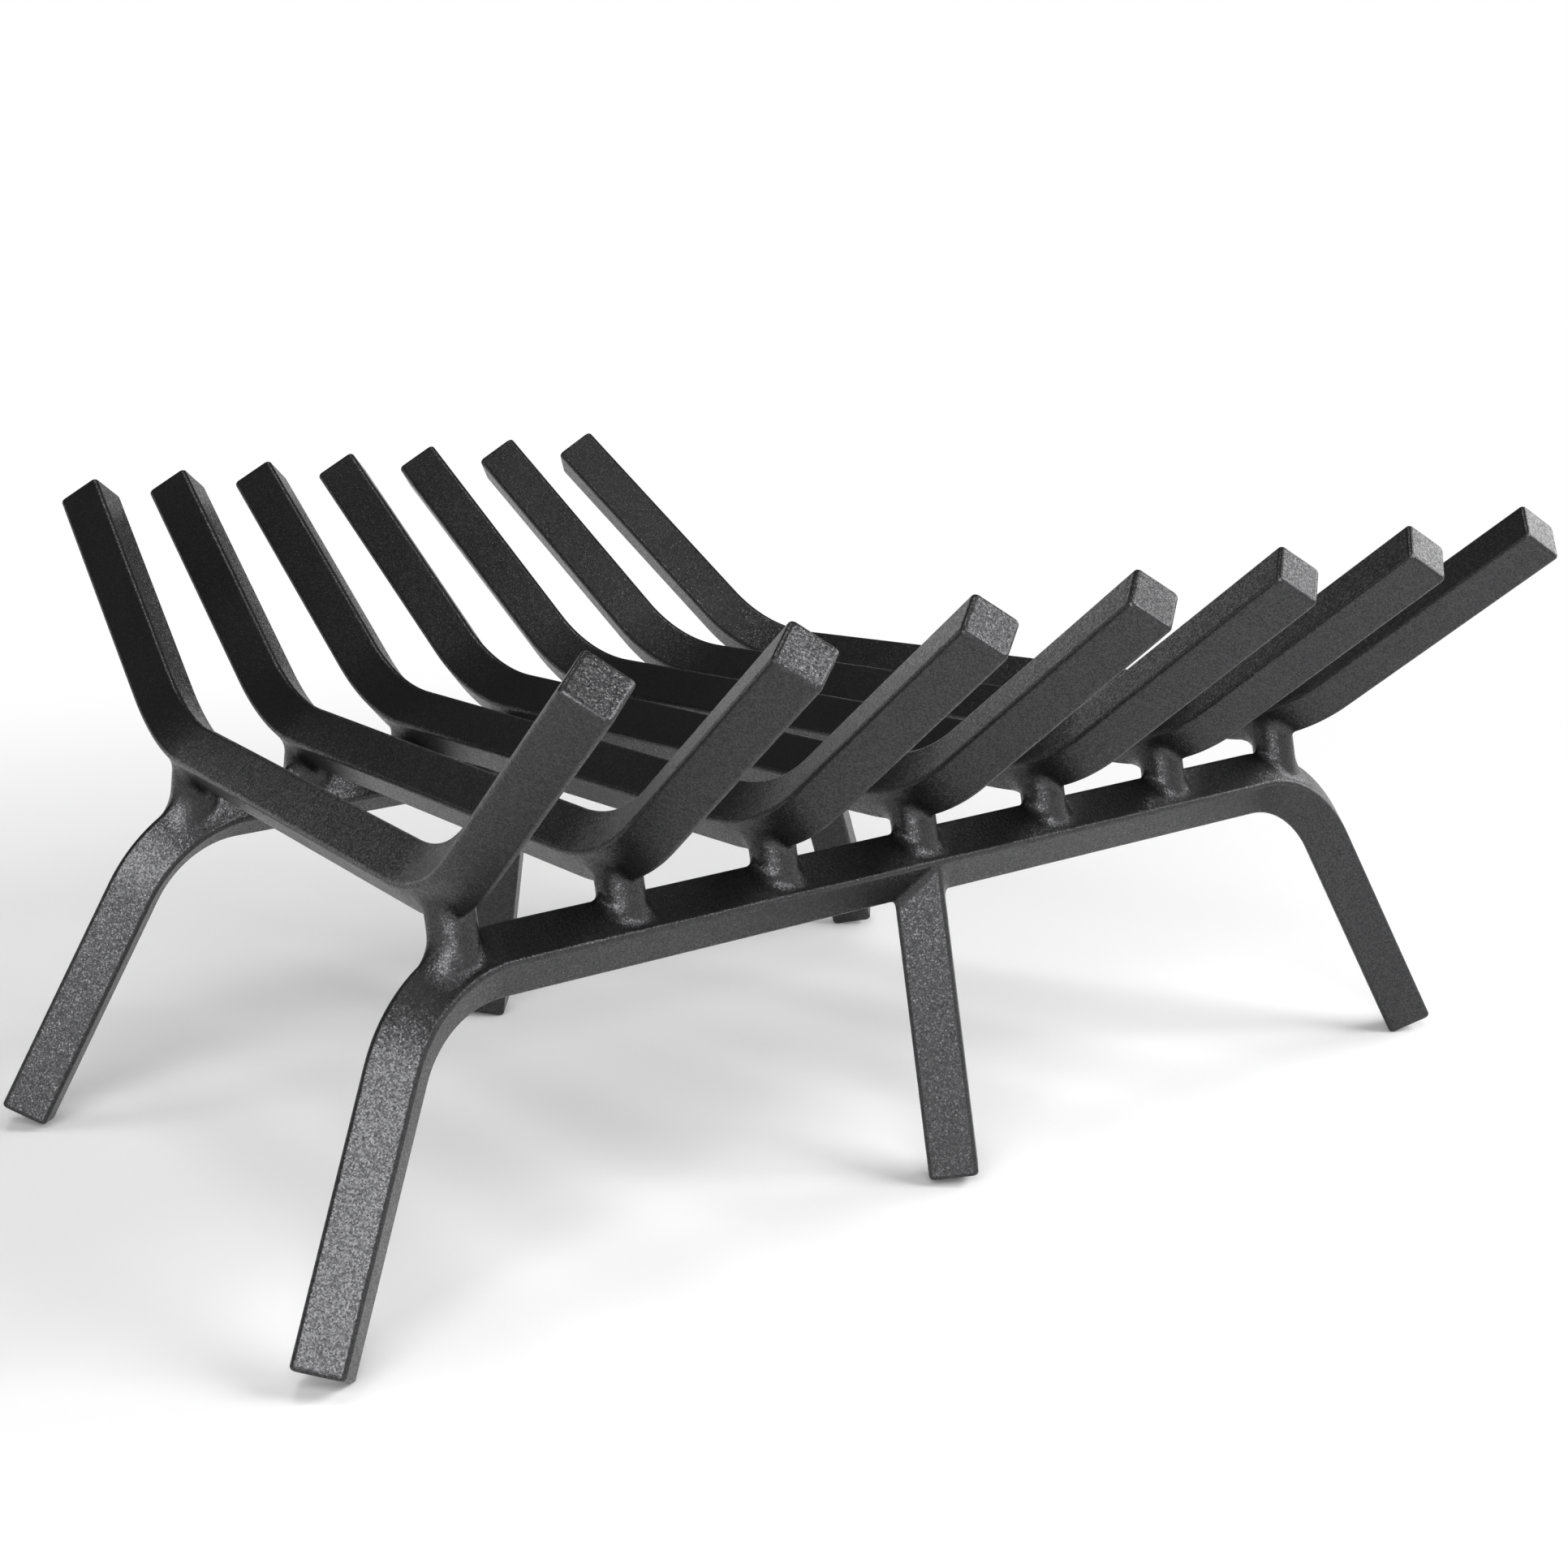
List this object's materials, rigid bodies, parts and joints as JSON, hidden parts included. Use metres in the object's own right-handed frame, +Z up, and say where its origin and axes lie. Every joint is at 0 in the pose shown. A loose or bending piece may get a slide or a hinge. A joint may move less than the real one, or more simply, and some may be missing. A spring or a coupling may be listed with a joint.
{
  "type": "fire grate",
  "caption": "Free-standing fire grate of square bars set on the diamond, fanned out on short posts over bent rails whose ends are splayed legs; upturned arms hold the logs.",
  "frame": {"origin": "on the floor, below the middle of the grate", "axes": "+X along the rails, -Y to the open front, +Z up"},
  "size_m": [0.6004, 0.5092, 0.2468],
  "materials": {
    "black_steel": "charcoal satin heat-resistant coating with a fine metallic grain on steel"
  },
  "bodies": {
    "root": {"grate_bar_1": "black_steel", "grate_bar_2": "black_steel", "grate_bar_3": "black_steel", "grate_bar_4": "black_steel", "grate_bar_5": "black_steel", "grate_bar_6": "black_steel", "grate_bar_7": "black_steel", "front_rail": "black_steel", "rear_rail": "black_steel", "front_centre_leg": "black_steel", "rear_centre_leg": "black_steel", "front_post_1": "black_steel", "front_post_2": "black_steel", "front_post_3": "black_steel", "front_post_4": "black_steel", "front_post_5": "black_steel", "front_post_6": "black_steel", "front_post_7": "black_steel", "rear_post_1": "black_steel", "rear_post_2": "black_steel", "rear_post_3": "black_steel", "rear_post_4": "black_steel", "rear_post_5": "black_steel", "rear_post_6": "black_steel", "rear_post_7": "black_steel"}
  },
  "joints": []
}
